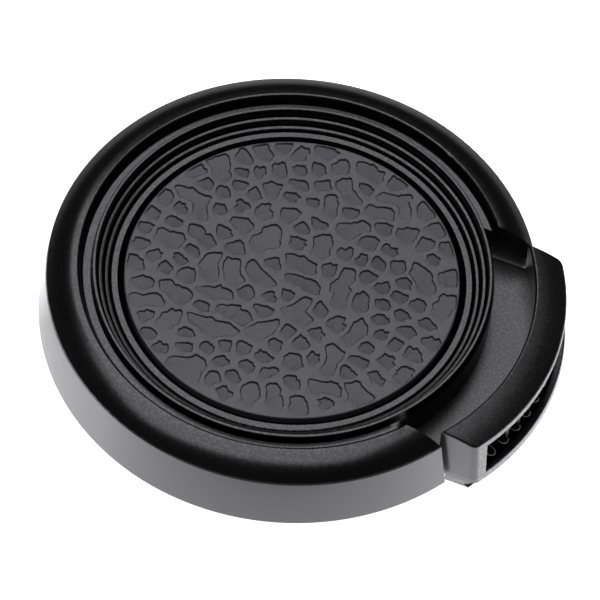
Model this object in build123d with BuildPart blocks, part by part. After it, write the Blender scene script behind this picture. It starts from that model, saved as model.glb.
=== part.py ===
from build123d import *
import os
from math import asin, cos, degrees, hypot, radians, sin, tan

# Clip-on lens cap, in millimetres. Z is the optical axis, z = 0 is the seat on the lens
# and the release tab points along +X.

# Lens thread that the cap grips
thread_diameter = 37.0
thread_pitch = 0.75
thread_depth = 0.4
thread_crest = 0.1
thread_play = 0.1
thread_turns = 2
thread_lead = 0.4
grip_depth = 2.2

# Housing rim, from the seat on the lens inwards
seat_overhang = 1.5
seat_width = 1.4
seat_chamfer = 0.15
wall_draft = 0.55
shoulder_round = 0.35
rim_width = 2.57
rim_rise = 1.27
rim_inner_draft = 0.38
rim_round = 0.2
channel_width = 0.55
rim_wall = 1.2

# Stepped dish: concentric rings that fall from the rim to the inlay, outermost first
ring_heights = (1.95, 1.30, 0.76)
ring_falls = (0.0, 0.05, 0.05)
ring_width = 0.28
ring_draft = 0.17
ring_round = 0.09
groove_width = 0.22
groove_depth = 0.3
land_width = 0.48
land_height = 0.56
channel_height = 1.24
rim_height = 2.12

# Leatherette inlay
disc_gap = 0.53
moat_depth = 0.6
disc_thickness = 0.7
disc_chamfer = 0.12

# Layers of the mechanism, from the seat upwards
stake_head_height = 0.35
back_plate_thickness = 0.65
slide_clearance = 0.15
slide_thickness = 1.45
deck_thickness = 1.25

# Release slide: travel, tab and grip
slide_travel = 2.9
free_offset = 2.4
tab_reach = 2.2
tab_arc_radius = 18.4
tab_width = 19.3
tab_side_gap = 0.55
tab_foot = 0.45
tab_draft = 0.3
tab_corner = 0.8
crown_width = 3.0
crown_drop = 0.72
lip_round = 0.2
slot_depth = 1.4
slot_top_flange = 0.75
slot_bottom_flange = 0.8
slot_end_wall = 1.0
slot_round = 0.15
rib_width = 0.6
rib_reach = 0.85
rib_pitch = 1.5
rib_foot = 0.1
rib_foot_taper = 40
clamp_width = 17.0
clamp_thickness = 1.8

# Guides and stops of the slide
guide_clearance = 0.2
rail_thickness = 1.0
ear_length = 1.5
ear_reach = 0.8
stop_gap = 0.1

# Return springs
spring_diameter = 1.9
spring_wire = 0.3
spring_wire_sides = 8
spring_length = 10.0
spring_turns = 7
spring_spacing = 10.0
spring_stop_x = -3.0
spring_clearance = 0.1
spring_pocket_depth = 5.5
spring_pocket_clearance = 0.25
spring_nub_length = 1.5
spring_nub_clearance = 0.2
spring_stop_thickness = 1.2
spring_stop_width = 4.0

# Back plate and its heat stakes
plate_clearance = 0.4
ledge_width = 1.0
ledge_wall = 0.6
stake_radius = 0.7
stake_inset = 1.6
stake_hole_clearance = 0.12
stake_head_overhang = 0.6
stake_head_chamfer = 0.2
stake_angles = (70, 140, -140, -70)

# Radii of the housing
thread_radius = thread_diameter / 2
crest_radius = thread_radius - thread_play
body_radius = thread_radius + seat_overhang
seat_inner_radius = body_radius - seat_width
shoulder_radius = body_radius - wall_draft
rim_crest_radius = shoulder_radius - rim_width
channel_outer_radius = rim_crest_radius - rim_inner_draft
plateau_radius = channel_outer_radius - channel_width
land_outer_radius = plateau_radius - ring_draft - len(ring_heights) * (ring_width + groove_width)
land_inner_radius = land_outer_radius - land_width
disc_radius = land_inner_radius - disc_gap

# Heights of the layers
plate_bottom = stake_head_height
plate_top = plate_bottom + back_plate_thickness
slide_bottom = plate_top + slide_clearance
slide_top = slide_bottom + slide_thickness
deck_bottom = slide_top + slide_clearance
disc_seat = deck_bottom + deck_thickness
rim_top = disc_seat + rim_height
shoulder_z = rim_top - rim_rise
channel_z = disc_seat + channel_height
land_z = disc_seat + land_height
core_top = channel_z - rim_wall

# Layout of the slide
tab_centre_x = body_radius + tab_reach - tab_arc_radius
tab_half_width = tab_width / 2
cut_half_width = tab_half_width + tab_side_gap
tab_top_radius = tab_arc_radius - tab_draft
tab_edge_z = rim_top - crown_drop
crown_radius = tab_top_radius - crown_width
clamp_inner_radius = crest_radius - clamp_thickness
slot_back_radius = tab_top_radius - slot_depth
slot_bottom_z = tab_foot + slot_bottom_flange
slot_top_z = tab_edge_z - slot_top_flange
slot_half_angle = degrees(asin((tab_half_width - slot_end_wall) / tab_arc_radius))
pocket_end_x = spring_stop_x + spring_length
slide_rear_x = pocket_end_x - spring_pocket_depth
rail_inner_y = tab_half_width + guide_clearance
rail_rear_x = slide_rear_x + ear_length + stop_gap
ear_half_width = tab_half_width + ear_reach

# Layout of the springs, the back plate and its stakes
spring_radius = spring_diameter / 2
spring_z = plate_top + spring_clearance + spring_radius
spring_nub_radius = spring_radius - spring_wire - spring_nub_clearance
spring_ys = (spring_spacing / 2, -spring_spacing / 2)
back_plate_radius = clamp_inner_radius + free_offset - slide_travel - plate_clearance
ledge_inner_radius = back_plate_radius - ledge_width
ledge_outer_radius = back_plate_radius + ledge_wall
stake_circle = ledge_inner_radius - stake_inset
stake_spots = [
    (stake_circle * cos(radians(angle)), stake_circle * sin(radians(angle))) for angle in stake_angles
]


def section_plane(centre_x, angle):
    """Upright plane through a vertical axis at centre_x: local X is radial, local Y is up."""
    c, s = cos(radians(angle)), sin(radians(angle))
    return Plane(origin=(centre_x, 0, 0), x_dir=(c, s, 0), z_dir=(s, -c, 0))


def upright_axis(centre_x):
    """Vertical axis through (centre_x, 0)."""
    return Axis((centre_x, 0, 0), (0, 0, 1))


def ring_corners():
    """Outer and inner corner of each ring's top, outermost ring first, as (radius, z)."""
    corners = []
    radius = plateau_radius - ring_draft
    for height, fall in zip(ring_heights, ring_falls):
        corners.append(((radius, disc_seat + height), (radius - ring_width, disc_seat + height - fall)))
        radius -= ring_width + groove_width
    return corners


def dish_points():
    """Stepped dish from the foot of the rim's inner wall to the inlay's seat, as (radius, z)."""
    points = [(channel_outer_radius, channel_z), (plateau_radius, channel_z)]
    next_tops = [disc_seat + height for height in ring_heights[1:]] + [land_z]
    for (outer, inner), next_top in zip(ring_corners(), next_tops):
        points += [outer, inner, (inner[0] - groove_width / 2, next_top - groove_depth)]
    points.append((land_outer_radius, land_z))
    points.append((land_inner_radius, land_z))
    points.append(((land_inner_radius + disc_radius) / 2, disc_seat - moat_depth))
    points.append((disc_radius, disc_seat))
    return points


def placed_at(spots):
    """Filter for the corners of a sketch that lie on one of the spots."""
    return lambda corner: any(hypot(corner.X - x, corner.Y - y) < 1e-6 for x, y in spots)


def grip_outline(inner_radius, outer_radius, width, centre_x, side):
    """Ring segment that carries thread teeth, with sides parallel to X, on the side +1 or -1."""
    with BuildSketch(Plane.XY) as outline:
        with Locations((centre_x, 0)):
            Circle(outer_radius)
            Circle(inner_radius, mode=Mode.SUBTRACT)
        with Locations((centre_x + side * outer_radius / 2, 0)):
            Rectangle(outer_radius, width, mode=Mode.INTERSECT)
    return outline.sketch


def thread_grooves(centre_x):
    """V grooves between the thread teeth, around a vertical axis at centre_x."""
    half_groove = (thread_pitch - thread_crest) / 2
    with BuildSketch(section_plane(centre_x, 0)) as grooves:
        for turn in range(thread_turns + 1):
            z = -thread_lead - turn * thread_pitch
            with BuildLine():
                Polyline(
                    (crest_radius, z + half_groove),
                    (crest_radius - thread_depth, z),
                    (crest_radius, z - half_groove),
                    (crest_radius + thread_depth, z),
                    close=True,
                )
            make_face()
    return grooves.sketch


# Housing: rim, stepped dish, deck and skirt moulded in one piece
with BuildPart() as cap_body:
    with BuildSketch(Plane.XZ):
        with BuildLine():
            foot = Polyline(
                (0, disc_seat),
                (0, deck_bottom),
                (ledge_inner_radius, deck_bottom),
                (ledge_inner_radius, plate_top),
                (ledge_outer_radius, plate_top),
                (ledge_outer_radius, deck_bottom),
                (seat_inner_radius, deck_bottom),
                (seat_inner_radius, 0),
                (body_radius - seat_chamfer, 0),
                (body_radius, seat_chamfer),
                (shoulder_radius, shoulder_z),
            )
            Bezier(foot @ 1, (rim_crest_radius + rim_width / 2, rim_top), (rim_crest_radius, rim_top))
            Polyline((rim_crest_radius, rim_top), *dish_points(), foot @ 0)
        make_face()
        dish_corners = [corner for pair in ring_corners() for corner in pair] + [(land_outer_radius, land_z)]
        fillet(vertices().filter_by(placed_at(dish_corners)), radius=ring_round)
        fillet(vertices().filter_by(placed_at([(rim_crest_radius, rim_top)])), radius=rim_round)
        fillet(vertices().filter_by(placed_at([(shoulder_radius, shoulder_z)])), radius=shoulder_round)
    revolve(axis=Axis.Z)

    # Hollow under the rim, closed by a wall at each side of the tab's opening
    core_start = degrees(asin((cut_half_width + rim_wall) / ledge_outer_radius))
    with BuildSketch(section_plane(0, core_start)):
        with BuildLine():
            Polyline(
                (ledge_outer_radius, deck_bottom),
                (ledge_outer_radius, core_top),
                (seat_inner_radius - rim_wall, core_top),
                (seat_inner_radius, shoulder_z - rim_wall),
                (seat_inner_radius, deck_bottom),
                close=True,
            )
        make_face()
    revolve(axis=Axis.Z, revolution_arc=360 - 2 * core_start, mode=Mode.SUBTRACT)

    # Opening for the tab: through the rim as far as the dish's outer wall
    with BuildSketch(Plane.XY):
        with Locations((body_radius / 2, 0)):
            Rectangle(body_radius, 2 * cut_half_width)
        Circle(plateau_radius, mode=Mode.SUBTRACT)
    extrude(amount=rim_top, mode=Mode.SUBTRACT)

    # Walls that close the opening's sides under the deck
    with BuildSketch(Plane.XY):
        for side in (1, -1):
            with Locations((body_radius / 2, side * (cut_half_width + rim_wall / 2))):
                Rectangle(body_radius, rim_wall)
        Circle(body_radius - seat_width / 2, mode=Mode.INTERSECT)
        Circle(ledge_outer_radius, mode=Mode.SUBTRACT)
    extrude(amount=deck_bottom)

    # Channel under the deck for the slide's plate
    with BuildSketch(Plane.XY):
        with Locations((plateau_radius / 2, 0)):
            Rectangle(plateau_radius, 2 * rail_inner_y)
    extrude(amount=deck_bottom, mode=Mode.SUBTRACT)

    # Rails that guide the slide, with rear ends that stop its ears
    with BuildSketch(Plane.XY.offset(plate_top)):
        for side in (1, -1):
            rail_y = side * (rail_inner_y + rail_thickness / 2)
            with Locations(((rail_rear_x + ledge_inner_radius) / 2, rail_y)):
                Rectangle(ledge_inner_radius - rail_rear_x, rail_thickness)
        Circle(ledge_inner_radius, mode=Mode.INTERSECT)
    extrude(amount=deck_bottom - plate_top)

    # Abutments of the springs, each with a nub that centres its coil
    with BuildSketch(Plane.XY.offset(plate_top)):
        with Locations(*[(spring_stop_x - spring_stop_thickness / 2, y) for y in spring_ys]):
            Rectangle(spring_stop_thickness, spring_stop_width)
    extrude(amount=deck_bottom - plate_top)
    for y in spring_ys:
        with BuildSketch(Plane.YZ.offset(spring_stop_x)):
            with Locations((y, spring_z)):
                Circle(spring_radius + spring_clearance)
        extrude(amount=spring_length + spring_clearance, mode=Mode.SUBTRACT)
        with BuildSketch(Plane.YZ.offset(spring_stop_x)):
            with Locations((y, spring_z)):
                Circle(spring_nub_radius)
        extrude(amount=spring_nub_length)

    # Posts through the back plate, with heads formed over it
    with BuildSketch(Plane.XY.offset(plate_bottom)):
        with Locations(*stake_spots):
            Circle(stake_radius)
    extrude(amount=deck_bottom - plate_bottom)
    with BuildSketch(Plane.XY):
        with Locations(*stake_spots):
            Circle(stake_radius + stake_head_overhang)
    extrude(amount=stake_head_height)
    head_rims = cap_body.edges().filter_by(GeomType.CIRCLE).filter_by(
        lambda edge: abs(edge.radius - stake_radius - stake_head_overhang) < 1e-6
    )
    chamfer(head_rims.group_by(Axis.Z)[0], length=stake_head_chamfer)

    # Fixed grip opposite the tab, with teeth for the lens thread
    extrude(
        grip_outline(ledge_outer_radius, seat_inner_radius, clamp_width, 0, -1),
        amount=core_top,
    )
    extrude(
        grip_outline(ledge_outer_radius, crest_radius, clamp_width, 0, -1),
        amount=-grip_depth,
    )
    revolve(thread_grooves(0), axis=Axis.Z, mode=Mode.SUBTRACT)
cap_body.part.label = "cap_body"

# Leatherette inlay in the dish
with BuildPart() as leatherette_disc:
    with BuildSketch(Plane.XY.offset(disc_seat)):
        Circle(disc_radius)
    extrude(amount=disc_thickness)
    chamfer(leatherette_disc.edges().group_by(Axis.Z)[-1], length=disc_chamfer)
leatherette_disc.part.label = "leatherette_disc"

# Release slide: tab with grip slot, lip, plate and thread clamp moulded in one piece
with BuildPart() as release_slide:
    tab_axis = upright_axis(tab_centre_x)
    with BuildSketch(section_plane(tab_centre_x, -90)):
        with BuildLine():
            crown = TangentArc((crown_radius, rim_top), (tab_top_radius, tab_edge_z), tangent=(1, 0))
            Polyline(crown @ 1, (tab_arc_radius, tab_foot), (0, tab_foot), (0, rim_top), crown @ 0)
        make_face()
    revolve(axis=tab_axis, revolution_arc=180)
    with BuildSketch(Plane.XY):
        with Locations((tab_centre_x + tab_arc_radius / 2, 0)):
            Rectangle(tab_arc_radius, tab_width)
        with Locations((free_offset, 0)):
            Circle(rim_crest_radius, mode=Mode.SUBTRACT)
    extrude(amount=rim_top, mode=Mode.INTERSECT)
    uprights = release_slide.edges().filter_by(lambda edge: abs((edge % 0.5).Z) > 0.9)
    fillet(uprights.group_by(Axis.X)[-1], radius=tab_corner)
    fillet(release_slide.faces().sort_by(Axis.Z)[-1].outer_wire().edges(), radius=lip_round)

    # Clamp under the tab, with teeth for the lens thread
    clamp_outline = grip_outline(clamp_inner_radius, crest_radius, clamp_width, free_offset, 1)
    extrude(clamp_outline, amount=slide_bottom + slide_thickness / 2)
    extrude(clamp_outline, amount=-grip_depth)
    revolve(thread_grooves(free_offset), axis=upright_axis(free_offset), mode=Mode.SUBTRACT)

    # Plate that runs under the deck, with ears that stop it and slots for the springs
    with BuildSketch(Plane.XY.offset(slide_bottom)):
        with Locations(((slide_rear_x + body_radius) / 2, 0)):
            Rectangle(body_radius - slide_rear_x, tab_width)
        with Locations((slide_rear_x + ear_length / 2, 0)):
            Rectangle(ear_length, 2 * ear_half_width)
        with Locations((tab_centre_x, 0)):
            Circle(slot_back_radius, mode=Mode.INTERSECT)
        with Locations(*[((slide_rear_x + pocket_end_x) / 2, y) for y in spring_ys]):
            Rectangle(spring_pocket_depth, spring_diameter + 2 * spring_pocket_clearance, mode=Mode.SUBTRACT)
    extrude(amount=slide_thickness)
    for y in spring_ys:
        with BuildSketch(Plane.YZ.offset(pocket_end_x)):
            with Locations((y, spring_z)):
                Circle(spring_nub_radius)
        extrude(amount=-spring_nub_length)

    # Grip slot along the tab's outer face, with upright ribs on its back wall
    with BuildSketch(section_plane(tab_centre_x, -slot_half_angle)):
        with Locations((slot_back_radius + slot_depth, (slot_bottom_z + slot_top_z) / 2)):
            Rectangle(2 * slot_depth, slot_top_z - slot_bottom_z)
    revolve(axis=tab_axis, revolution_arc=2 * slot_half_angle, mode=Mode.SUBTRACT)
    slot_middle_radius = (slot_back_radius + tab_arc_radius) / 2
    slot_rim = release_slide.edges(Select.LAST).filter_by(
        lambda edge: hypot((edge @ 0.5).X - tab_centre_x, (edge @ 0.5).Y) > slot_middle_radius
    ).filter_by_position(Axis.Z, slot_bottom_z, slot_top_z)
    fillet(slot_rim, radius=slot_round)
    rib_step = degrees(rib_pitch / slot_back_radius)
    rib_count = 2 * int((slot_half_angle - rib_step / 2) / rib_step)
    rib_span = rib_step * (rib_count - 1)
    rib_root = rib_width / 2
    rib_middle = slot_back_radius + (rib_reach - rib_root) / 2
    rib_flare = 2 * rib_foot * tan(radians(rib_foot_taper))
    for flare, height, taper in ((0, slot_top_z - slot_bottom_z, 0), (rib_flare, rib_foot, rib_foot_taper)):
        with BuildSketch(Plane.XY.offset(slot_bottom_z)):
            with Locations((tab_centre_x, 0)):
                with PolarLocations(rib_middle, rib_count, -rib_span / 2, rib_span, endpoint=True):
                    SlotOverall(rib_reach + rib_root + flare, rib_width + flare)
        extrude(amount=height, taper=taper)
release_slide.part.label = "release_slide"

# Back plate that closes the mechanism, held by the stakes
with BuildPart() as back_plate:
    with BuildSketch(Plane.XY.offset(plate_bottom)):
        Circle(back_plate_radius)
        with Locations(*stake_spots):
            Circle(stake_radius + stake_hole_clearance, mode=Mode.SUBTRACT)
    extrude(amount=back_plate_thickness)
back_plate.part.label = "back_plate"


def return_spring(y):
    """Compression spring along X between its abutment and the end of the slide's slot."""
    coil_start = (spring_stop_x + spring_wire, y, spring_z)
    coil_length = spring_length - 2 * spring_wire
    with BuildPart() as spring:
        with BuildLine():
            coil = Helix(
                coil_length / spring_turns,
                coil_length,
                spring_radius - spring_wire / 2,
                center=coil_start,
                direction=(1, 0, 0),
            )
        with BuildSketch(Plane(origin=coil @ 0, z_dir=coil % 0)):
            RegularPolygon(spring_wire / 2, spring_wire_sides)
        sweep(path=coil, is_frenet=True)
    return spring.part


spring_left, spring_right = [return_spring(y) for y in spring_ys]
spring_left.label = "spring_left"
spring_right.label = "spring_right"

os.makedirs("parts", exist_ok=True)
export_step(cap_body.part, "parts/cap_body.step")
export_step(leatherette_disc.part, "parts/leatherette_disc.step")
export_step(release_slide.part, "parts/release_slide.step")
export_step(back_plate.part, "parts/back_plate.step")
export_step(spring_left, "parts/spring_left.step")
export_step(spring_right, "parts/spring_right.step")
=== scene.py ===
"""Looks of a clip-on lens cap: finishes for its solids, a grained inlay and coiled springs."""
import logging
import math
import random
from collections.abc import Callable
from dataclasses import dataclass, field
from enum import Enum

import bpy
from mathutils import Matrix, Vector


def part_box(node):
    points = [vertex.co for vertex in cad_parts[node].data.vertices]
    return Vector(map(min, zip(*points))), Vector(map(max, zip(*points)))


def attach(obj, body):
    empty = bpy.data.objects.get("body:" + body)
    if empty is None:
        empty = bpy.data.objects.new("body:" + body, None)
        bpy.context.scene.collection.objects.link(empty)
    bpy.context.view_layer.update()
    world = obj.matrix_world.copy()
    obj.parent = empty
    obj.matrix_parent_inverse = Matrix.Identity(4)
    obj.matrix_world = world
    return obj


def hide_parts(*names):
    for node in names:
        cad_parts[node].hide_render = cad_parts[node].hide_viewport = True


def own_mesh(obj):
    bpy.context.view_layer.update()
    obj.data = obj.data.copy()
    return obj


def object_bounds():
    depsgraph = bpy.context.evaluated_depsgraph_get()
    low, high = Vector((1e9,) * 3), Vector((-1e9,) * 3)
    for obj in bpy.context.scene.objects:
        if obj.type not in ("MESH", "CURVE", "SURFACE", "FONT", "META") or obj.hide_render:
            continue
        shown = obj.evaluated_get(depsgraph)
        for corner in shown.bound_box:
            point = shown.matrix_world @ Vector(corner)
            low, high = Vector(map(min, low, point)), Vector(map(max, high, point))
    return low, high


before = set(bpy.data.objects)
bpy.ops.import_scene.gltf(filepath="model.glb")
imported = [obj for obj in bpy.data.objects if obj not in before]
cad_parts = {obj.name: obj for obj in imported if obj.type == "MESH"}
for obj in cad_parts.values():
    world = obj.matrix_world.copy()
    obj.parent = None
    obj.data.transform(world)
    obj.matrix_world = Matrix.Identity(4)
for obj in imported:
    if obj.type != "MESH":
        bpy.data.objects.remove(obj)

CAD_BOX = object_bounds()
MM = 0.001
TURN = 2 * math.pi
COOL_WHITE = (0.995, 0.99, 1.03)
NEUTRAL = (1.0, 1.0, 1.0)
EVERY_SIDE = (0.0, 1.0)
Colour = tuple[float, float, float, float]

log = logging.getLogger("lens_cap")


class Body(Enum):
    """The two bodies of the cap."""

    HOUSING = "housing"
    SLIDE = "slide"


class Slot(Enum):
    """Names of the record's material slots for the new pieces; no piece is given one here."""

    TAB = "tab_plastic"
    INLAY = "leatherette"
    SPRING = "spring_steel"


def grey(level: float, hue: tuple[float, float, float] = NEUTRAL) -> Colour:
    """An opaque grey of that linear level, with a slight hue."""
    return (level * hue[0], level * hue[1], level * hue[2], 1.0)


class NodeBench:
    """A node tree that is being built, with short calls to add and join its nodes."""

    def __init__(self, tree: bpy.types.NodeTree) -> None:
        """Starts from an empty tree.

        Args:
            tree: the tree of a material, a group or the world.
        """
        self.tree = tree
        tree.nodes.clear()

    def add(self, kind: str, **values: object) -> bpy.types.Node:
        """Adds a node and sets its own properties.

        Args:
            kind: the node's type name.
            values: properties of the node, by name.

        Returns:
            The new node.
        """
        node = self.tree.nodes.new(kind)
        for name, value in values.items():
            setattr(node, name, value)
        return node

    def join(self, source: bpy.types.NodeSocket, target: bpy.types.NodeSocket) -> None:
        """Links an output to an input."""
        self.tree.links.new(source, target)


class MouldedSkin:
    """Shared node group: the fine spark grain and the uneven gloss of a moulded surface.

    Attributes:
        NAME: the group's name.
        DETAILS: the group's outputs, with the detail of their noise.
    """

    NAME = "moulded_skin"
    DETAILS = {"Grain": 3.0, "Cloud": 4.0}

    @classmethod
    def group(cls) -> bpy.types.NodeTree:
        """Builds the group once.

        Returns:
            The group's tree, with the inputs Grain Scale and Cloud Scale and the outputs Grain and
            Cloud.
        """
        known = bpy.data.node_groups.get(cls.NAME)
        if known:
            return known
        tree = bpy.data.node_groups.new(cls.NAME, "ShaderNodeTree")
        number = "NodeSocketFloat"
        for name in cls.DETAILS:
            tree.interface.new_socket(name=f"{name} Scale", in_out="INPUT", socket_type=number)
            tree.interface.new_socket(name=name, in_out="OUTPUT", socket_type=number)
        bench = NodeBench(tree)
        inside = bench.add("NodeGroupInput")
        outside = bench.add("NodeGroupOutput")
        place = bench.add("ShaderNodeTexCoord")
        for name, detail in cls.DETAILS.items():
            noise = bench.add("ShaderNodeTexNoise")
            noise.inputs["Detail"].default_value = detail
            bench.join(place.outputs["Object"], noise.inputs["Vector"])
            bench.join(inside.outputs[f"{name} Scale"], noise.inputs["Scale"])
            bench.join(noise.outputs["Fac"], outside.inputs[name])
        return tree


@dataclass(frozen=True)
class MouldedFinish:
    """A moulded or pressed surface: two close tones, an uneven gloss and a fine grain.

    Attributes:
        name: the material's name.
        tones: linear grey of the darker and the lighter clouds.
        gloss: roughness of the smoother and the duller clouds.
        coats: weight of the glossy coat on the duller and the shinier flecks.
        grain_size: size of one fleck of the grain, in metres.
        grain_depth: height of the grain, in metres.
        cloud_size: size of one cloud, in metres.
        metallic: 1 for bare metal.
        hue: slight hue of the tones.
        flecks: heights of the grain at which the coat starts and is full.
    """

    name: str
    tones: tuple[float, float]
    gloss: tuple[float, float]
    coats: tuple[float, float]
    grain_size: float
    grain_depth: float
    cloud_size: float
    metallic: float = 0.0
    hue: tuple[float, float, float] = NEUTRAL
    flecks: tuple[float, float] = (0.3, 0.7)

    def material(self) -> bpy.types.Material:
        """Builds the material.

        Returns:
            The material, made once for each name.
        """
        known = bpy.data.materials.get(self.name)
        if known:
            return known
        made = bpy.data.materials.new(self.name)
        made.use_nodes = True
        bench = NodeBench(made.node_tree)
        self.shade(bench)
        return made

    def shade(self, bench: NodeBench) -> None:
        """Lays out the shader with its skin.

        Args:
            bench: the material's empty tree.
        """
        skin = bench.add("ShaderNodeGroup", node_tree=MouldedSkin.group())
        skin.inputs["Grain Scale"].default_value = 1.0 / self.grain_size
        skin.inputs["Cloud Scale"].default_value = 1.0 / self.cloud_size
        tone = bench.add("ShaderNodeMix", data_type="RGBA")
        tone.inputs["A"].default_value = grey(self.tones[0], self.hue)
        tone.inputs["B"].default_value = grey(self.tones[1], self.hue)
        bench.join(skin.outputs["Cloud"], tone.inputs["Factor"])
        rough = bench.add("ShaderNodeMapRange")
        rough.inputs["To Min"].default_value = self.gloss[0]
        rough.inputs["To Max"].default_value = self.gloss[1]
        bench.join(skin.outputs["Cloud"], rough.inputs["Value"])
        coat = bench.add("ShaderNodeMapRange")
        coat.inputs["From Min"].default_value = self.flecks[0]
        coat.inputs["From Max"].default_value = self.flecks[1]
        coat.inputs["To Min"].default_value = self.coats[0]
        coat.inputs["To Max"].default_value = self.coats[1]
        bench.join(skin.outputs["Grain"], coat.inputs["Value"])
        bump = bench.add("ShaderNodeBump")
        bump.inputs["Distance"].default_value = self.grain_depth
        bench.join(skin.outputs["Grain"], bump.inputs["Height"])
        shader = bench.add("ShaderNodeBsdfPrincipled")
        shader.inputs["Metallic"].default_value = self.metallic
        shader.inputs["Coat Roughness"].default_value = self.gloss[1]
        bench.join(self.tint(bench, tone.outputs["Result"]), shader.inputs["Base Color"])
        bench.join(rough.outputs["Result"], shader.inputs["Roughness"])
        bench.join(coat.outputs["Result"], shader.inputs["Coat Weight"])
        bench.join(bump.outputs["Normal"], shader.inputs["Normal"])
        self.complete(bench, shader)
        sheet = bench.add("ShaderNodeOutputMaterial")
        bench.join(shader.outputs["BSDF"], sheet.inputs["Surface"])

    def tint(self, bench: NodeBench, colour: bpy.types.NodeSocket) -> bpy.types.NodeSocket:
        """Changes the skin's colour, which a plain finish leaves as it is.

        Args:
            bench: the material's tree.
            colour: the skin's colour.

        Returns:
            The colour for the shader.
        """
        return colour

    def complete(self, bench: NodeBench, shader: bpy.types.Node) -> None:
        """Adds what a plain finish doesn't have.

        Args:
            bench: the material's tree.
            shader: its shader, with the skin joined to it.
        """


@dataclass(frozen=True)
class Space:
    """A ring-shaped space that marks some faces of a solid.

    Attributes:
        radii: inner and outer radius of the space.
        heights: lower and upper height of the space.
        sides: least and greatest distance from the cap's plane of symmetry.
        centre_x: place of its axis along the tab's direction.
    """

    radii: tuple[float, float]
    heights: tuple[float, float]
    sides: tuple[float, float] = EVERY_SIDE
    centre_x: float = 0.0

    def mask(self, bench: NodeBench) -> bpy.types.NodeSocket:
        """Marks the faces in the space.

        Args:
            bench: the material's tree.

        Returns:
            1 in the space and 0 outside it.
        """
        place = bench.add("ShaderNodeTexCoord")
        parts = bench.add("ShaderNodeSeparateXYZ")
        bench.join(place.outputs["Object"], parts.inputs["Vector"])
        from_axis = bench.add("ShaderNodeVectorMath", operation="MULTIPLY_ADD")
        # The factors drop the height.
        from_axis.inputs[1].default_value = (1, 1, 0)
        from_axis.inputs[2].default_value = (-self.centre_x, 0, 0)
        bench.join(place.outputs["Object"], from_axis.inputs[0])
        away = bench.add("ShaderNodeVectorMath", operation="LENGTH")
        bench.join(from_axis.outputs["Vector"], away.inputs[0])
        aside = bench.add("ShaderNodeMath", operation="ABSOLUTE")
        bench.join(parts.outputs["Y"], aside.inputs[0])
        inside = None
        for measure, (low, high) in (
            (away.outputs["Value"], self.radii),
            (parts.outputs["Z"], self.heights),
            (aside.outputs["Value"], self.sides),
        ):
            between = bench.add("ShaderNodeMath", operation="COMPARE")
            between.inputs[1].default_value = (low + high) / 2
            between.inputs[2].default_value = (high - low) / 2
            bench.join(measure, between.inputs[0])
            if inside is None:
                inside = between.outputs["Value"]
                continue
            both = bench.add("ShaderNodeMath", operation="MULTIPLY")
            bench.join(inside, both.inputs[0])
            bench.join(between.outputs["Value"], both.inputs[1])
            inside = both.outputs["Value"]
        return inside


@dataclass(frozen=True, kw_only=True)
class PaintedShadeFinish(MouldedFinish):
    """A moulded finish with smooth outer walls, and painted shade: inner faces painted as black as
    the bottom of a gap.

    Attributes:
        painted_shade_spaces: the spaces whose faces are painted black as shade and return no light.
        walls: the spaces whose faces are smooth, with an even coat.
        wall_coat: weight of the walls' coat.
    """

    painted_shade_spaces: tuple[Space, ...]
    walls: tuple[Space, ...]
    wall_coat: float = 0.0

    @staticmethod
    def union(bench: NodeBench, spaces: tuple[Space, ...]) -> bpy.types.NodeSocket:
        """Marks the faces in any of the spaces.

        Args:
            bench: the material's tree.
            spaces: the spaces, at least one.

        Returns:
            1 in a space and 0 outside them all.
        """
        marked = spaces[0].mask(bench)
        for space in spaces[1:]:
            more = bench.add("ShaderNodeMath", operation="ADD", use_clamp=True)
            bench.join(marked, more.inputs[0])
            bench.join(space.mask(bench), more.inputs[1])
            marked = more.outputs["Value"]
        return marked

    def complete(self, bench: NodeBench, shader: bpy.types.Node) -> None:
        """Evens the coat out on the walls, and paints shade: takes the coat and the gloss off the
        painted shade spaces.

        Args:
            bench: the material's tree.
            shader: its shader, with the skin joined to it.
        """
        even = bench.add("ShaderNodeMix", data_type="FLOAT")
        bench.join(self.union(bench, self.walls), even.inputs["Factor"])
        bench.join(shader.inputs["Coat Weight"].links[0].from_socket, even.inputs["A"])
        even.inputs["B"].default_value = self.wall_coat
        # Painted shade: the marked faces turn black metal and return no light.
        painted_shade = self.union(bench, self.painted_shade_spaces)
        bench.join(painted_shade, shader.inputs["Metallic"])
        bare = bench.add("ShaderNodeMath", operation="SUBTRACT", use_clamp=True)
        bench.join(even.outputs["Result"], bare.inputs[0])
        bench.join(painted_shade, bare.inputs[1])
        bench.join(bare.outputs["Value"], shader.inputs["Coat Weight"])


@dataclass(frozen=True, kw_only=True)
class FloorReflectionFinish(PaintedShadeFinish):
    """A painted-shade finish that is also painted paler along the foot of its two ends, as a
    painted reflection of the pale floor.

    Attributes:
        foot: the space whose faces get the painted reflection.
        foot_reflection_tone: linear grey of the foot's painted reflection.
    """

    foot: Space
    foot_reflection_tone: float

    def tint(self, bench: NodeBench, colour: bpy.types.NodeSocket) -> bpy.types.NodeSocket:
        """Paints the floor's reflection on the foot, as a paler grey.

        Args:
            bench: the material's tree.
            colour: the skin's colour.

        Returns:
            The colour for the shader.
        """
        # Painted reflection: the foot is paled as if it mirrored the pale floor.
        paler = bench.add("ShaderNodeMix", data_type="RGBA")
        paler.inputs["B"].default_value = grey(self.foot_reflection_tone)
        bench.join(self.foot.mask(bench), paler.inputs["Factor"])
        bench.join(colour, paler.inputs["A"])
        return paler.outputs["Result"]


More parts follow.
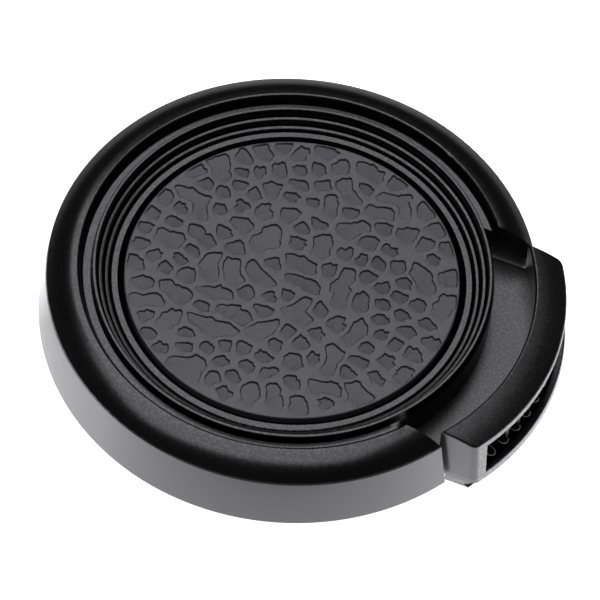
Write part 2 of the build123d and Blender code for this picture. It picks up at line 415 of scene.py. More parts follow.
@dataclass(frozen=True)
class EmbossedFinish(MouldedFinish):
    """A moulded finish with painted shade: it takes a share of brightness from each face of its
    piece.

    Attributes:
        share_name: name of the piece's attribute that holds the shares.
    """

    share_name: str = "tone"

    def tint(self, bench: NodeBench, colour: bpy.types.NodeSocket) -> bpy.types.NodeSocket:
        """Paints shade: darkens the colour by the faces' shares.

        Args:
            bench: the material's tree.
            colour: the skin's colour.

        Returns:
            The darkened colour.
        """
        share = bench.add("ShaderNodeAttribute", attribute_name=self.share_name)
        darker = bench.add("ShaderNodeMix", data_type="RGBA", blend_type="MULTIPLY")
        darker.inputs["Factor"].default_value = 1.0
        bench.join(colour, darker.inputs["A"])
        bench.join(share.outputs["Fac"], darker.inputs["B"])
        return darker.outputs["Result"]


# Spaces of the housing and of the tab, named for the faces that they mark
# MECHANISM, RECESS_SIDES, RECESS_EDGES, RING_SIDE and GRIP_SLOT mark faces painted black as shade;
# TAB_FEET marks a painted reflection of the floor.
MECHANISM = Space((0.0, 18.9 * MM), (-3.0 * MM, 3.2 * MM))
RECESS_SIDES = Space((15.9 * MM, 18.9 * MM), (3.2 * MM, 5.2 * MM))
RECESS_EDGES = Space((18.9 * MM, 19.35 * MM), (3.2 * MM, 4.9 * MM))
RING_SIDE = Space((15.7 * MM, 15.97 * MM), (5.25 * MM, 5.84 * MM))
OUTER_WALL = Space((19.35 * MM, 20.1 * MM), (-0.1 * MM, 4.85 * MM))
GRIP_SLOT = Space(
    (16.6 * MM, 17.85 * MM), (1.2 * MM, 4.7 * MM), sides=(0.0, 8.75 * MM), centre_x=3.8 * MM
)
TAB_ENDS = Space((0.0, 25.0 * MM), (0.0, 6.2 * MM), sides=(9.4 * MM, 10.0 * MM))
TAB_FEET = Space((0.0, 25.0 * MM), (-3.0 * MM, 0.95 * MM), sides=(8.0 * MM, 10.0 * MM))

HOUSING_BLACK = PaintedShadeFinish(
    name="satin_black_housing",
    tones=(0.002, 0.0035),
    gloss=(0.19, 0.27),
    coats=(0.0, 0.55),
    grain_size=0.2 * MM,
    grain_depth=0.003 * MM,
    cloud_size=6 * MM,
    flecks=(0.46, 0.66),
    # Painted shade: these faces in the recess, under the deck and beside the ring are painted
    # black.
    painted_shade_spaces=(MECHANISM, RECESS_SIDES, RECESS_EDGES, RING_SIDE),
    walls=(OUTER_WALL,),
    wall_coat=0.17,
)
TAB_BLACK = FloorReflectionFinish(
    name="satin_black_tab",
    tones=(0.002, 0.0035),
    gloss=(0.27, 0.35),
    coats=(0.15, 0.8),
    grain_size=0.2 * MM,
    grain_depth=0.004 * MM,
    cloud_size=4 * MM,
    flecks=(0.46, 0.66),
    # Painted shade: the grip slot's faces are painted black.
    painted_shade_spaces=(GRIP_SLOT,),
    walls=(TAB_ENDS,),
    # Painted reflection: the feet are painted paler, as if they mirrored the floor.
    foot=TAB_FEET,
    foot_reflection_tone=0.045,
)
MATT_BLACK = MouldedFinish(
    name="matt_black_plastic",
    tones=(0.02, 0.028),
    gloss=(0.45, 0.6),
    coats=(0.0, 0.1),
    grain_size=0.15 * MM,
    grain_depth=0.006 * MM,
    cloud_size=4 * MM,
)
# Nearly white: a painted highlight on the rib feet's fillets, which lie in shade in the slot.
RIB_FEET_HIGHLIGHT = MouldedFinish(
    name="rib_feet_highlight_plastic",
    tones=(0.85, 0.95),
    gloss=(0.3, 0.4),
    coats=(0.0, 0.2),
    grain_size=0.09 * MM,
    grain_depth=0.002 * MM,
    cloud_size=1 * MM,
)
SPRING_STEEL = MouldedFinish(
    name="spring_steel",
    tones=(0.5, 0.62),
    gloss=(0.2, 0.32),
    coats=(0.0, 0.0),
    grain_size=0.2 * MM,
    grain_depth=0.002 * MM,
    cloud_size=1 * MM,
    metallic=1.0,
)
LEATHERETTE = EmbossedFinish(
    name="charcoal_leatherette",
    tones=(0.065, 0.103),
    gloss=(0.4, 0.5),
    coats=(0.0, 0.4),
    grain_size=0.2 * MM,
    grain_depth=0.03 * MM,
    cloud_size=2.5 * MM,
    hue=(1.0, 0.98, 1.1),
)


def clear_selection() -> None:
    """Leaves every object deselected, in object mode."""
    if bpy.context.object and bpy.context.object.mode != "OBJECT":
        bpy.ops.object.mode_set(mode="OBJECT")
    bpy.ops.object.select_all(action="DESELECT")


def make_active(piece: bpy.types.Object) -> None:
    """Selects one object alone and makes it the active one.

    Args:
        piece: the object.
    """
    clear_selection()
    piece.select_set(True)
    bpy.context.view_layer.objects.active = piece


def join_as(pieces: list[bpy.types.Object], name: str) -> bpy.types.Object:
    """Joins objects into one.

    Args:
        pieces: the objects, the first of which stays.
        name: the joined piece's name.

    Returns:
        The joined piece.
    """
    make_active(pieces[0])
    for piece in pieces[1:]:
        piece.select_set(True)
    bpy.ops.object.join()
    joined = bpy.context.object
    joined.name = name
    joined.data.name = name
    return joined


def pick_vertices(piece: bpy.types.Object, wanted: Callable[[Vector], bool]) -> None:
    """Selects some of a piece's vertices alone and stays in edit mode.

    Args:
        piece: the active piece, in object mode.
        wanted: tells from a vertex's place whether it is selected.
    """
    bpy.ops.object.mode_set(mode="EDIT")
    bpy.ops.mesh.select_mode(type="VERT")
    bpy.ops.mesh.select_all(action="DESELECT")
    bpy.ops.object.mode_set(mode="OBJECT")
    for vertex in piece.data.vertices:
        vertex.select = wanted(vertex.co)
    bpy.ops.object.mode_set(mode="EDIT")


def smooth(angle: float) -> None:
    """Smooths the active piece's edges up to an angle, in degrees."""
    bpy.ops.object.shade_smooth_by_angle(angle=math.radians(angle))


def round_points(radius: float, count: int) -> list[Vector]:
    """Flat points of a circle about the origin, evenly spaced."""
    turns = [TURN * index / count for index in range(count)]
    return [Vector((radius * math.cos(turn), radius * math.sin(turn))) for turn in turns]


def dress(piece: bpy.types.Object, finish: MouldedFinish) -> None:
    """Gives a piece one finish all over."""
    piece.data.materials.clear()
    piece.data.materials.append(finish.material())


@dataclass
class LeatheretteInlay:
    """The leatherette disc in the dish: a smooth sheet embossed with uneven flat pits.

    Attributes:
        node: the solid that the piece stands for.
        spacing: least distance between two seeds of the pits.
        reaches: smallest and largest reach of a pit from its spine.
        land: width of the sheet that is left between two pits.
        edge_land: width of the sheet that is left along the rim.
        wobble: share by which a pit's outline wanders.
        depth: depth of the pits on their deepest side.
        shallow: depth on the other side, as a share of it.
        lean: direction of the deepest side, in degrees from the tab's direction.
        wall: width of a pit's sloping wall, seen from above.
        wall_tone: brightness of the pits' walls, as a share of the sheet's: painted shade.
        wall_rise: upward part of a normal, below which a face is a pit's wall.
        wall_corners: corners of a wall's face, while a floor has more.
        floor_tones: brightness of the pits' floors at the shade spot and far from it, as shares of
            the sheet's: painted shade.
        shade_spot: place where the painted shade on the floors is darkest.
        shade_reach: distance at which they have paled by two thirds.
        rim_round: radius of the rounding round the disc.
        rim_steps: faces across that rounding.
        chain_share: chance that a pit reaches on to a neighbouring seed.
        chain_length: most seeds of one pit.
        chain_reach: longest step to that seed, in spacings.
        crowding: throws of a seed that may miss before the disc counts as full.
        view: distance up to which a pit minds its neighbours, in spacings.
        land_shares: smallest and largest share of the land round a pit.
        points: points of an outline, first a fixed number and then more for each seed.
        waves: counts of the waves round an outline.
        wave_shares: smallest and largest share of a wave's size.
        wave_fall: power by which finer waves are smaller.
        trace_steps: steps of a ray over the width of the land.
        jitter: smallest and largest share of a ray's length.
        least_reach: least reach of a pit that is kept, in widths of its wall.
        rim_points: points round the disc.
        crease: angle up to which edges are smooth, in degrees.
        seed: start of the random draws.
        radius: the disc's radius, from its solid.
        bottom: height of the disc's back.
        top: height of the disc's face.
    """

    node: str = "leatherette_disc"
    spacing: float = 1.28 * MM
    reaches: tuple[float, float] = (0.64 * MM, 1.4 * MM)
    land: float = 0.33 * MM
    edge_land: float = 0.05 * MM
    wobble: float = 0.5
    depth: float = 0.17 * MM
    shallow: float = 0.03
    lean: float = 76.0
    wall: float = 0.1 * MM
    wall_tone: float = 0.4
    wall_rise: float = 0.85
    wall_corners: int = 4
    floor_tones: tuple[float, float] = (0.74, 0.98)
    shade_spot: tuple[float, float] = (6.5 * MM, 0.8 * MM)
    shade_reach: float = 5.5 * MM
    rim_round: float = 0.12 * MM
    rim_steps: int = 3
    chain_share: float = 0.38
    chain_length: int = 3
    chain_reach: float = 1.3
    crowding: int = 3000
    view: float = 4.0
    land_shares: tuple[float, float] = (0.8, 1.35)
    points: tuple[int, int] = (34, 14)
    waves: tuple[int, ...] = (2, 3, 4, 5, 7, 9, 12)
    wave_shares: tuple[float, float] = (0.3, 1.0)
    wave_fall: float = 0.8
    trace_steps: int = 20
    jitter: tuple[float, float] = (0.92, 1.08)
    least_reach: float = 2.4
    rim_points: int = 360
    crease: float = 14.0
    seed: int = 11
    radius: float = field(init=False)
    bottom: float = field(init=False)
    top: float = field(init=False)

    def __post_init__(self) -> None:
        """Takes the disc's size and place from the frame."""
        low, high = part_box(self.node)
        self.radius = (high.x - low.x) / 2
        self.bottom = low.z
        self.top = high.z

    def scatter(self, draw: random.Random) -> list[Vector]:
        """Throws seeds on the disc, none closer than the spacing and none at the rim.

        Args:
            draw: the random source.

        Returns:
            The seeds' places.
        """
        seeds: list[Vector] = []
        misses = 0
        while misses < self.crowding:
            angle = draw.uniform(0, TURN)
            away = (self.radius - self.reaches[0]) * math.sqrt(draw.random())
            spot = Vector((away * math.cos(angle), away * math.sin(angle)))
            if any((spot - other).length < self.spacing for other in seeds):
                misses += 1
                continue
            seeds.append(spot)
        return seeds

    def chain(self, seeds: list[Vector], draw: random.Random) -> list[list[Vector]]:
        """Strings the seeds into short spines, one for each pit.

        Args:
            seeds: the seeds' places.
            draw: the random source.

        Returns:
            The spines.
        """
        free = list(seeds)
        spines: list[list[Vector]] = []
        while free:
            spine = [free.pop(0)]
            while len(spine) < self.chain_length and draw.random() < self.chain_share:
                nearest = min(free, key=lambda spot: (spot - spine[-1]).length, default=None)
                longest = self.chain_reach * self.spacing
                if nearest is None or (nearest - spine[-1]).length > longest:
                    break
                free.remove(nearest)
                spine.append(nearest)
            spines.append(spine)
        return spines

    @staticmethod
    def gap_to(spine: list[Vector], spot: Vector) -> float:
        """Measures from a spot to a spine.

        Args:
            spine: the spine's seeds.
            spot: the spot.

        Returns:
            The shortest distance.
        """
        if len(spine) == 1:
            return (spot - spine[0]).length
        gaps = []
        for start, end in zip(spine, spine[1:]):
            run = end - start
            share = min(1.0, max(0.0, (spot - start).dot(run) / run.length_squared))
            gaps.append((spot - start - run * share).length)
        return min(gaps)

    def outline(
        self, spine: list[Vector], spines: list[list[Vector]], draw: random.Random
    ) -> list[Vector]:
        """Traces one pit: rays from its middle stop at its reach, its neighbours' land or the rim.

        Args:
            spine: the pit's spine.
            spines: the spines of all pits.
            draw: the random source.

        Returns:
            The outline's points, or an empty list if the pit has no room.
        """
        middle = spine[1] if len(spine) == 3 else sum(spine, Vector((0, 0))) / len(spine)
        view = self.view * self.spacing
        near = [s for s in spines if s is not spine and self.gap_to(s, middle) < view]
        reach = draw.uniform(*self.reaches)
        land = self.land * draw.uniform(*self.land_shares)
        count = self.points[0] + self.points[1] * len(spine)
        waves = []
        for k in self.waves:
            phase = draw.uniform(0, TURN)
            size = self.wobble * draw.uniform(*self.wave_shares) / k**self.wave_fall
            waves.append((k, phase, size))
        step = self.land / self.trace_steps
        rays = round_points(1.0, count)
        lengths = []
        for index, ray in enumerate(rays):
            angle = TURN * index / count
            swell = 1 + sum(size * math.sin(k * angle + phase) for k, phase, size in waves)
            length = step
            while True:
                spot = middle + ray * length
                own = self.gap_to(spine, spot)
                beside = min(self.gap_to(s, spot) for s in near) - own
                inside = self.radius - self.rim_round - self.edge_land - spot.length
                if own > reach * swell or beside < land * swell or inside < 0:
                    break
                length += step
            lengths.append(length * draw.uniform(*self.jitter))
        soft = [
            (lengths[i - 1] + 2 * lengths[i] + lengths[(i + 1) % count]) / 4 for i in range(count)
        ]
        if min(soft) < self.least_reach * self.wall:
            return []
        return [middle + ray * length for ray, length in zip(rays, soft)]

    def add_loop(self, points: list[Vector], filled: bool) -> bpy.types.Object:
        """Adds a flat loop on the disc's top, as a circle whose points are then moved.

        Args:
            points: the loop's points.
            filled: whether the loop gets a face.

        Returns:
            The loop.
        """
        bpy.ops.mesh.primitive_circle_add(
            vertices=len(points), radius=self.spacing, fill_type="NGON" if filled else "NOTHING"
        )
        loop = bpy.context.object
        for vertex, point in zip(loop.data.vertices, points):
            vertex.co = (point.x, point.y, self.top)
        return loop

    def emboss(self, inlay: bpy.types.Object) -> None:
        """Fills the sheet between the pits and sinks the pits' floors, up to edit mode.

        Args:
            inlay: the joined loops, active and in object mode.
        """
        floors = len(inlay.data.polygons)
        bpy.ops.object.mode_set(mode="EDIT")
        bpy.ops.mesh.select_mode(type="EDGE")
        bpy.ops.mesh.select_all(action="SELECT")
        bpy.ops.mesh.fill(use_beauty=True)
        bpy.ops.mesh.select_all(action="SELECT")
        bpy.ops.mesh.normals_make_consistent(inside=False)
        bpy.ops.object.mode_set(mode="OBJECT")
        if inlay.data.polygons[0].normal.z < 0:
            inlay.data.flip_normals()
        bpy.ops.object.mode_set(mode="EDIT")
        bpy.ops.mesh.select_all(action="DESELECT")
        bpy.ops.object.mode_set(mode="OBJECT")
        for number, polygon in enumerate(inlay.data.polygons):
            polygon.select = number < floors
        bpy.ops.object.mode_set(mode="EDIT")
        bpy.ops.mesh.select_mode(type="FACE")
        bpy.ops.mesh.inset(thickness=self.wall, depth=-self.depth, use_individual=True)
        bpy.ops.object.mode_set(mode="OBJECT")
        lean = math.radians(self.lean)
        way = Vector((math.cos(lean), math.sin(lean), 0))
        for polygon in inlay.data.polygons:
            if polygon.select:
                self.tip([inlay.data.vertices[index] for index in polygon.vertices], way)
        bpy.ops.object.mode_set(mode="EDIT")

    def tip(self, floor: list[bpy.types.MeshVertex], way: Vector) -> None:
        """Tips a pit's floor, so that it is deepest on one side and runs out on the other.

        Args:
            floor: the floor's vertices.
            way: direction of the deepest side.
        """
        places = [vertex.co.dot(way) for vertex in floor]
        start, end = min(places), max(places)
        for vertex, place in zip(floor, places):
            share = self.shallow + (1 - self.shallow) * (place - start) / (end - start)
            vertex.co.z = self.top - self.depth * share

    def thicken(self) -> None:
        """Rounds the sheet's rim over, drops its side and closes its back, in edit mode."""
        bpy.ops.mesh.select_mode(type="EDGE")
        bpy.ops.mesh.select_all(action="DESELECT")
        bpy.ops.mesh.select_non_manifold()
        across = self.radius - self.rim_round
        drop = 0.0
        for step in range(1, self.rim_steps + 1):
            angle = TURN / 4 * step / self.rim_steps
            wider = self.radius - self.rim_round * (1 - math.sin(angle))
            lower = self.rim_round * (1 - math.cos(angle))
            growth = wider / across
            bpy.ops.mesh.extrude_region_move(TRANSFORM_OT_translate={"value": (0, 0, drop - lower)})
            bpy.ops.transform.resize(value=(growth, growth, 1), center_override=(0, 0, self.top))
            across, drop = wider, lower
        side = (0, 0, self.bottom - self.top + drop)
        bpy.ops.mesh.extrude_region_move(TRANSFORM_OT_translate={"value": side})
        bpy.ops.mesh.edge_face_add()
        bpy.ops.mesh.select_all(action="SELECT")
        bpy.ops.mesh.normals_make_consistent(inside=False)

    def darken(self, inlay: bpy.types.Object) -> None:
        """Writes each face's share of brightness as painted shade: full on the sheet, less in the
        pits.

        Args:
            inlay: the finished mesh, in object mode.
        """
        shares = inlay.data.attributes.new(LEATHERETTE.share_name, "FLOAT", "FACE")
        shaded, plain = self.floor_tones
        for polygon, share in zip(inlay.data.polygons, shares.data):
            share.value = 1.0
            if polygon.center.xy.length > self.radius - self.rim_round:
                continue
            # Painted shade on the pits' walls and floors, deepest round the shade spot.
            if polygon.normal.z < self.wall_rise:
                share.value = self.wall_tone
            elif len(polygon.vertices) > self.wall_corners:
                away = (polygon.center.xy - Vector(self.shade_spot)).length / self.shade_reach
                share.value = plain - (plain - shaded) * math.exp(-away * away)

    def build(self) -> bpy.types.Object:
        """Models the inlay.

        Returns:
            The inlay, which rides on the housing.
        """
        draw = random.Random(self.seed)
        spines = self.chain(self.scatter(draw), draw)
        rim = round_points(self.radius - self.rim_round, self.rim_points)
        clear_selection()
        loops = [self.add_loop(rim, filled=False)]
        for spine in spines:
            points = self.outline(spine, spines, draw)
            if points:
                loops.append(self.add_loop(points, filled=True))
        inlay = join_as(loops, "leatherette_inlay")
        self.emboss(inlay)
        self.thicken()
        bpy.ops.object.mode_set(mode="OBJECT")
        smooth(self.crease)
        self.darken(inlay)
        dress(inlay, LEATHERETTE)
        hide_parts(self.node)
        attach(inlay, Body.HOUSING.value)
        return inlay


@dataclass
class ReturnSpring:
    """A coiled return spring between its abutment and the slide.

    Attributes:
        node: the solid that the piece stands for.
        wire: diameter of the wire.
        turns: number of turns.
        wire_sides: points round the wire.
        turn_steps: steps of one turn.
        crease: angle up to which edges are smooth, in degrees.
        joint: the joint that presses the spring; not used.
    """

    node: str
    wire: float = 0.3 * MM
    turns: int = 7
    wire_sides: int = 10
    turn_steps: int = 32
    crease: float = 50.0
    joint: str = "release_press"

    def build(self) -> bpy.types.Object:
        """Models the coil.

        Returns:
            The coil.
        """
        low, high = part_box(self.node)
        middle = (low + high) / 2
        coil_radius = (high.z - low.z - self.wire) / 2
        length = high.x - low.x - self.wire
        clear_selection()
        bpy.ops.mesh.primitive_circle_add(
            vertices=self.wire_sides,
            radius=self.wire / 2,
            rotation=(TURN / 4, 0, 0),
            fill_type="NGON",
        )
        coil = bpy.context.object
        coil.name = coil.data.name = self.node.replace("spring", "coil")
        bpy.ops.object.transform_apply(rotation=True)
        bpy.ops.object.mode_set(mode="EDIT")
        bpy.ops.mesh.select_all(action="SELECT")
        bpy.ops.transform.translate(value=(0, 0, coil_radius))
        bpy.ops.mesh.delete(type="ONLY_FACE")
        bpy.ops.object.mode_set(mode="OBJECT")
        coil.location = (low.x + self.wire / 2, middle.y, middle.z)
        screw = coil.modifiers.new("wind", "SCREW")
        screw.axis = "X"
        screw.iterations = self.turns
        screw.screw_offset = length / self.turns
        screw.steps = screw.render_steps = self.turn_steps
        bpy.ops.object.modifier_apply(modifier=screw.name)
        bpy.ops.object.mode_set(mode="EDIT")
        bpy.ops.mesh.select_all(action="SELECT")
        bpy.ops.mesh.fill_holes(sides=self.wire_sides)
        bpy.ops.mesh.normals_make_consistent(inside=False)
        bpy.ops.object.mode_set(mode="OBJECT")
        bpy.ops.object.transform_apply(location=True)
        smooth(self.crease)
        dress(coil, SPRING_STEEL)
        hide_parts(self.node)
        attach(coil, Body.HOUSING.value)
        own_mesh(coil)
        return coil


@dataclass
class RibFeet:
    """Beads round the feet of the grip ribs, on the floor of the tab's slot, painted nearly white
    as a painted highlight of their fillets.

    Attributes:
        centre_x: place of the tab's own axis.
        back_radius: radius of the slot's back wall.
        floor_z: height of the slot's floor.
        rib_width: width of a rib.
        rib_reach: reach of a rib from the back wall.
        rib_pitch: distance between two ribs along the back wall.
        rib_count: number of ribs.
        bead: radius of the bead.
        bead_steps: fineness of the bead's round section.
        bend_points: points of a whole turn round the rib's tip.
        slack: width within which a point lies on the bend's middle line.
        crease: angle up to which edges are smooth, in degrees.
    """

    centre_x: float = 3.8 * MM
    back_radius: float = 16.7 * MM
    floor_z: float = 1.25 * MM
    rib_width: float = 0.6 * MM
    rib_reach: float = 0.85 * MM
    rib_pitch: float = 1.5 * MM
    rib_count: int = 10
    bead: float = 0.05 * MM
    bead_steps: int = 2
    bend_points: int = 24
    slack: float = 0.005 * MM
    crease: float = 60.0

    def foot(self, turn: float) -> bpy.types.Object:
        """Bends one bead round a rib.

        Args:
            turn: the rib's direction from the tab's axis, in radians.

        Returns:
            The bead.
        """
        tip = self.back_radius + self.rib_reach - self.rib_width / 2
        bend = self.rib_width / 2 + self.bead
        clear_selection()
        bpy.ops.mesh.primitive_circle_add(
            vertices=self.bend_points, radius=bend, fill_type="NOTHING"
        )
        bead = bpy.context.object
        pick_vertices(bead, lambda spot: spot.x < -self.slack)
        bpy.ops.mesh.delete(type="VERT")
        bpy.ops.object.mode_set(mode="OBJECT")
        pick_vertices(bead, lambda spot: spot.x < self.slack)
        leg = (self.back_radius - tip, 0, 0)
        bpy.ops.mesh.extrude_vertices_move(TRANSFORM_OT_translate={"value": leg})
        bpy.ops.object.mode_set(mode="OBJECT")
        bpy.ops.object.convert(target="CURVE")
        bead.data.bevel_depth = self.bead
        bead.data.bevel_resolution = self.bead_steps
        bpy.ops.object.convert(target="MESH")
        bead = bpy.context.object
        bead.rotation_euler.z = turn
        bead.location = (
            self.centre_x + tip * math.cos(turn),
            tip * math.sin(turn),
            self.floor_z,
        )
        bpy.ops.object.transform_apply(location=True, rotation=True)
        return bead

    def build(self) -> bpy.types.Object:
        """Models the beads.

        Returns:
            The beads as one piece, which rides on the slide.
        """
        step = self.rib_pitch / self.back_radius
        first = -(self.rib_count - 1) / 2
        turns = [(first + number) * step for number in range(self.rib_count)]
        feet = join_as([self.foot(turn) for turn in turns], "rib_feet")
        smooth(self.crease)
        # Painted highlight: the beads are dressed nearly white.
        dress(feet, RIB_FEET_HIGHLIGHT)
        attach(feet, Body.SLIDE.value)
        return feet


@dataclass
class MouldedSolids:
    """The cap's rigid solids, which keep their form and get their finish.

    Attributes:
        finishes: the finish of each solid, by its node's name.
    """

    finishes: dict[str, MouldedFinish] = field(
        default_factory=lambda: {
            "cap_body": HOUSING_BLACK,
            "release_slide": TAB_BLACK,
            "back_plate": MATT_BLACK,
        }
    )

    def build(self) -> list[bpy.types.Object]:
        """Dresses each solid.

        Returns:
            The solids.
        """
        for name, finish in self.finishes.items():
            dress(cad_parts[name], finish)
        return [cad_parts[name] for name in self.finishes]


@dataclass(frozen=True)
class SoftBox:
    """A rectangular panel of soft light that faces the cap.

    Attributes:
        name: the light's name.
        turn: direction from the cap, in degrees to the right of the view's far side.
        height: elevation of the panel's middle, in degrees.
        reach: distance from the cap.
        shift: sideways place, to the right of the view.
        width: size across.
        length: size along the rise of its elevation.
        glow: brightness of the panel, where 1 shows as white.
    """

    name: str
    turn: float
    height: float
    reach: float
    shift: float
    width: float
    length: float
    glow: float


@dataclass
class Studio:
    """Camera, floor and soft light.

    Attributes:
        azimuth: turn of the view about the optical axis, in degrees.
        elevation: height of the view above the horizon, in degrees.
        roll: turn of the camera about its own axis, in degrees.
        distance: from the cap's origin to the camera.
        focal_pixels: focal length in pixels of the square frame.
        frame_pixels: side of the square frame.
        aim_right: sideways place of the camera, from the axis through the origin.
        aim_up: place of the camera along its upward direction.
        sensor: width of the sensor, in millimetres.
        nearest: distance from which the camera sees.
        floor_size: side of the floor.
        floor_tone: linear grey of the floor.
        floor_rough: roughness of the floor.
        floor_glow: brightness that the floor gives by itself.
        floor_gloss: brightness of the floor in the cap's gloss.
        sheet_gap: gap between the cap's lowest point and the floor.
        card_glow: brightness that the card gives by itself.
        card_edges: near and far edge of the card, from the cap's axis.
        card_fall: shares of the card's brightness across it, from near to far, as (place, share).
        surround: brightness of the dim surround.
        boxes: the softboxes.
    """

    azimuth: float = 18.1
    elevation: float = 55.65
    roll: float = 4.71
    distance: float = 400 * MM
    focal_pixels: float = 5020.0
    frame_pixels: float = 600.0
    aim_right: float = 0.76 * MM
    aim_up: float = 0.9 * MM
    sensor: float = 36.0
    nearest: float = 10 * MM
    floor_size: float = 6.0
    floor_tone: float = 0.9
    floor_rough: float = 0.9
    floor_glow: float = 1.2
    floor_gloss: float = 0.4
    sheet_gap: float = 0.02 * MM
    card_glow: float = 2.85
    card_edges: tuple[float, float] = (-28 * MM, 12 * MM)
    card_fall: tuple[tuple[float, float], ...] = (
        (0.02, 0.65),
        (0.08, 0.76),
        (0.33, 1.0),
        (0.65, 0.5),
        (0.85, 0.85),
    )
    surround: float = 0.02
    boxes: tuple[SoftBox, ...] = (
        SoftBox(
            name="far_softbox",
            turn=4.0,
            height=61.0,
            reach=0.75,
            shift=-0.119,
            width=0.503,
            length=0.375,
            glow=2.75,
        ),
        SoftBox(
            name="near_softbox",
            turn=4.0,
            height=93.0,
            reach=0.7,
            shift=-0.125,
            width=0.75,
            length=0.45,
            glow=2.3,
        ),
    )

    def axes(self) -> tuple[Vector, Vector, Vector]:
        """Works out the view's directions, before its roll.

        Returns:
            The right, up and backward directions.
        """
        a, e = math.radians(self.azimuth), math.radians(self.elevation)
        right = Vector((math.cos(a), math.sin(a), 0))
        ahead = Vector((-math.sin(a), math.cos(a), 0))
        up = ahead * math.sin(e) + Vector((0, 0, math.cos(e)))
        back = -ahead * math.cos(e) + Vector((0, 0, math.sin(e)))
        return right, up, back

    def add_camera(self) -> None:
        """Sets the camera at the fitted place."""
        right, up, back = self.axes()
        c, s = math.cos(math.radians(self.roll)), math.sin(math.radians(self.roll))
        place = back * self.distance + right * self.aim_right + up * self.aim_up
        data = bpy.data.cameras.new("camera")
        data.sensor_width = self.sensor
        data.lens = self.focal_pixels / self.frame_pixels * self.sensor
        data.clip_start = self.nearest
        camera = bpy.data.objects.new("camera", data)
        bpy.context.scene.collection.objects.link(camera)
        turn = Matrix((right * c + up * s, up * c - right * s, back)).transposed()
        camera.matrix_world = Matrix.Translation(place) @ turn.to_4x4()
        bpy.context.scene.camera = camera

    def add_floor(self) -> None:
        """Lays a pale floor under the cap, which is dimmer in the cap's gloss than to the eye."""
        clear_selection()
        bpy.ops.mesh.primitive_plane_add(
            size=self.floor_size, location=(0, 0, CAD_BOX[0].z - self.sheet_gap)
        )
        floor = bpy.context.object
        floor.name = "floor"
        paint = bpy.data.materials.new("pale_floor")
        paint.use_nodes = True
        bench = NodeBench(paint.node_tree)
        pale = bench.add("ShaderNodeBsdfPrincipled")
        pale.inputs["Base Color"].default_value = grey(self.floor_tone)
        pale.inputs["Roughness"].default_value = self.floor_rough
        pale.inputs["Emission Color"].default_value = grey(1.0)
        pale.inputs["Emission Strength"].default_value = self.floor_glow
        dim = bench.add("ShaderNodeEmission")
        dim.inputs["Strength"].default_value = self.floor_gloss
        path = bench.add("ShaderNodeLightPath")
        mixed = bench.add("ShaderNodeMixShader")
        bench.join(path.outputs["Is Glossy Ray"], mixed.inputs["Fac"])
        bench.join(pale.outputs["BSDF"], mixed.inputs[1])
        bench.join(dim.outputs["Emission"], mixed.inputs[2])
        sheet = bench.add("ShaderNodeOutputMaterial")
        bench.join(mixed.outputs["Shader"], sheet.inputs["Surface"])
        floor.data.materials.append(paint)

    def add_card(self) -> None:
        """Lays a long white card on the floor, which shows in the cap's gloss alone."""
        clear_selection()
        near, far = self.card_edges
        bpy.ops.mesh.primitive_plane_add(size=1, location=(0, (near + far) / 2, 0))
        card = bpy.context.object
        card.name = "bounce_card"
        card.scale = (self.floor_size / 2, far - near, 1)
        bpy.ops.object.transform_apply(location=False, scale=True)
        turn = Matrix.Rotation(math.radians(self.azimuth), 3, "Z")
        lift = Vector((0, 0, CAD_BOX[0].z - self.sheet_gap / 2))
        card.location = turn @ card.location + lift
        card.rotation_euler.z = math.radians(self.azimuth)
        white = bpy.data.materials.new("white_card")
        white.use_nodes = True
        bench = NodeBench(white.node_tree)
        place = bench.add("ShaderNodeTexCoord")
        parts = bench.add("ShaderNodeSeparateXYZ")
        bench.join(place.outputs["Object"], parts.inputs["Vector"])
        across = bench.add("ShaderNodeMapRange")
        across.inputs["From Min"].default_value = (near - far) / 2
        across.inputs["From Max"].default_value = (far - near) / 2
        bench.join(parts.outputs["Y"], across.inputs["Value"])
        fall = bench.add("ShaderNodeValToRGB")
        for spot, level in self.card_fall:
            fall.color_ramp.elements.new(spot).color = grey(level, COOL_WHITE)
        fall.color_ramp.elements.remove(fall.color_ramp.elements[0])
        fall.color_ramp.elements.remove(fall.color_ramp.elements[-1])
        bench.join(across.outputs["Result"], fall.inputs["Fac"])
        glow = bench.add("ShaderNodeEmission")
        glow.inputs["Strength"].default_value = self.card_glow
        bench.join(fall.outputs["Color"], glow.inputs["Color"])
        sheet = bench.add("ShaderNodeOutputMaterial")
        bench.join(glow.outputs["Emission"], sheet.inputs["Surface"])
        card.data.materials.append(white)
        card.visible_camera = card.visible_diffuse = card.visible_shadow = False

    def hang(self, box: SoftBox) -> None:
        """Hangs a softbox.

        Args:
            box: its place, size and brightness.
        """
        a = TURN / 4 + math.radians(self.azimuth - box.turn)
        e = math.radians(box.height)
        way = Vector((math.cos(a) * math.cos(e), math.sin(a) * math.cos(e), math.sin(e)))
        data = bpy.data.lights.new(box.name, "AREA")
        data.shape = "RECTANGLE"
        data.size = box.width
        data.size_y = box.length
        data.energy = box.glow * math.pi * box.width * box.length
        data.color = COOL_WHITE
        light = bpy.data.objects.new(box.name, data)
        light.location = way * box.reach + self.axes()[0] * box.shift
        light.rotation_mode = "QUATERNION"
        light.rotation_quaternion = way.to_track_quat("Z", "Y")
        light.visible_camera = False
        bpy.context.scene.collection.objects.link(light)

    def add_world(self) -> None:
        """Sets a dim even surround."""
        world = bpy.data.worlds.new("surround")
        bpy.context.scene.world = world
        world.use_nodes = True
        sky = world.node_tree.nodes["Background"]
        sky.inputs["Color"].default_value = grey(self.surround)

    def build(self) -> None:
        """Sets up the studio."""
        self.add_camera()
        self.add_floor()
        self.add_card()
        self.add_world()
        for box in self.boxes:
            self.hang(box)
        bpy.context.scene.view_settings.view_transform = "Standard"


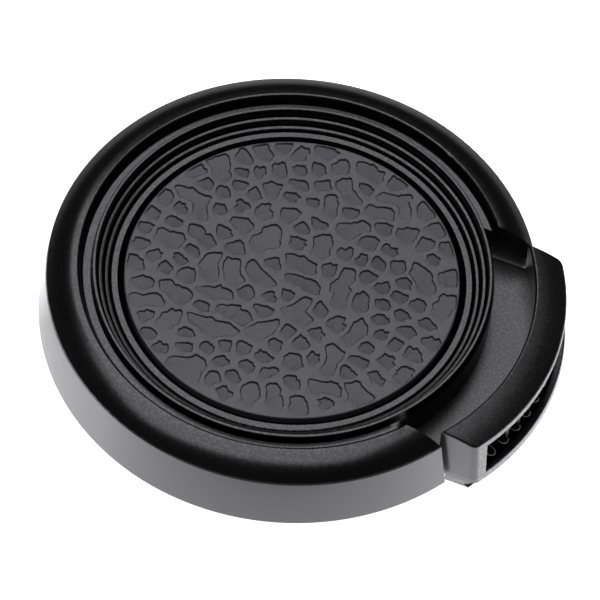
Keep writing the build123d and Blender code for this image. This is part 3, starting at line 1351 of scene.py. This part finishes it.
def main() -> None:
    """Builds the looks, piece by piece, and reports each piece."""
    logging.basicConfig(level=logging.INFO, format="%(name)s: %(message)s")
    Studio().build()
    pieces = MouldedSolids().build()
    pieces += [LeatheretteInlay().build(), RibFeet().build()]
    pieces += [ReturnSpring(node).build() for node in ("spring_left", "spring_right")]
    for piece in pieces:
        log.info("%s: %d faces", piece.name, len(piece.data.polygons))


if __name__ == "__main__":
    main()
